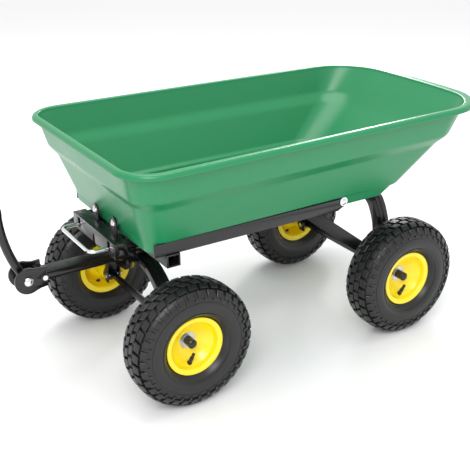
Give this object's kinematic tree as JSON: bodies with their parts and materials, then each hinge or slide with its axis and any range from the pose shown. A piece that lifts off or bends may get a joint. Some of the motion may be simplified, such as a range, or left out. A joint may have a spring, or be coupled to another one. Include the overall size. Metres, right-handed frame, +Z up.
{
  "type": "tow behind cart",
  "caption": "Tow behind garden dump cart: moulded tub on a tipping bed frame, steered front axle with drawbar and pull handle, latch release and pneumatic wheels.",
  "frame": {"origin": "on the ground, under the middle of the cart's overall length and width", "axes": "+X towards the rear of the cart, -X towards the drawbar and the pull handle; +Y towards the cart's right side; +Z up"},
  "size_m": [1.3606, 0.54, 0.714],
  "materials": {
    "tub_green": "moulded polyethylene, satin",
    "frame_black": "black powder coat, fine texture",
    "rim_yellow": "gloss paint",
    "chrome": "bright plating",
    "zinc": "zinc plating",
    "rubber": "moulded rubber",
    "tyre": "treaded rubber",
    "nylon": "plain nylon"
  },
  "bodies": {
    "chassis": {"main_beam": "frame_black", "bed_pad": "rubber", "rear_arch": "frame_black", "rear_axle": "frame_black", "brace_left": "frame_black", "brace_right": "frame_black", "pivot_tubes": "frame_black", "arch_bolts": "zinc", "rear_axle_caps": "frame_black", "rear_axle_bolts": "chrome"},
    "front_axle": {"front_arch": "frame_black", "front_axle": "frame_black", "turntable": "frame_black", "tongue": "frame_black", "tongue_bracket": "frame_black", "yoke": "frame_black", "kingpin": "zinc", "thrust_washer": "nylon", "tongue_bolts": "chrome", "front_axle_caps": "frame_black", "front_axle_bolts": "chrome", "hitch_pin": "chrome"},
    "pull_handle": {"handle_hub": "frame_black", "handle_tube": "frame_black", "handle_loop": "frame_black", "handle_grip": "rubber"},
    "bed": {"tub": "tub_green", "bed_rail_left": "frame_black", "bed_rail_right": "frame_black", "bed_front_channel": "frame_black", "bed_rear_channel": "frame_black", "hinge_arm_left": "frame_black", "hinge_arm_right": "frame_black", "front_bracket": "frame_black", "pivot_rod": "zinc", "pivot_pins": "zinc", "bracket_bolts": "chrome", "rail_side_bolts": "chrome", "rail_floor_bolts": "chrome"},
    "release": {"release_handle": "chrome", "latch_hook": "frame_black", "latch_springs": "zinc"},
    "wheel_front_left": {"tyre_front_left": "tyre", "rim_front_left": "rim_yellow", "bearings_front_left": "zinc", "valve_front_left": "rubber"},
    "wheel_front_right": {"tyre_front_right": "tyre", "rim_front_right": "rim_yellow", "bearings_front_right": "zinc", "valve_front_right": "rubber"},
    "wheel_rear_left": {"tyre_rear_left": "tyre", "rim_rear_left": "rim_yellow", "bearings_rear_left": "zinc", "valve_rear_left": "rubber"},
    "wheel_rear_right": {"tyre_rear_right": "tyre", "rim_rear_right": "rim_yellow", "bearings_rear_right": "zinc", "valve_rear_right": "rubber"}
  },
  "joints": [
    {"name": "steer", "type": "hinge", "parent": "chassis", "child": "front_axle", "pos_m": [-0.08969, 0, 0.2507], "axis": [0, 0, 1], "range_deg": [-40, 40]},
    {"name": "handle_tilt", "type": "hinge", "parent": "front_axle", "child": "pull_handle", "pos_m": [-0.33569, 0, 0.249], "axis": [0, 1, 0], "range_deg": [-75, 48]},
    {"name": "bed_tip", "type": "hinge", "parent": "chassis", "child": "bed", "pos_m": [0.45431, 0, 0.3115], "axis": [0, 1, 0], "range_deg": [0, 75]},
    {"name": "latch_release", "type": "hinge", "parent": "bed", "child": "release", "pos_m": [-0.17269, 0, 0.303], "axis": [0, 1, 0], "range_deg": [0, 35], "stiffness_Nm_per_rad": 0.5, "springref_deg": -22.92},
    {"name": "front_left_wheel_spin", "type": "hinge", "parent": "front_axle", "child": "wheel_front_left", "pos_m": [-0.08969, -0.2105, 0.132], "axis": [0, 1, 0], "continuous": true},
    {"name": "front_right_wheel_spin", "type": "hinge", "parent": "front_axle", "child": "wheel_front_right", "pos_m": [-0.08969, 0.2105, 0.132], "axis": [0, 1, 0], "continuous": true},
    {"name": "rear_left_wheel_spin", "type": "hinge", "parent": "chassis", "child": "wheel_rear_left", "pos_m": [0.45431, -0.2105, 0.132], "axis": [0, 1, 0], "continuous": true},
    {"name": "rear_right_wheel_spin", "type": "hinge", "parent": "chassis", "child": "wheel_rear_right", "pos_m": [0.45431, 0.2105, 0.132], "axis": [0, 1, 0], "continuous": true}
  ]
}
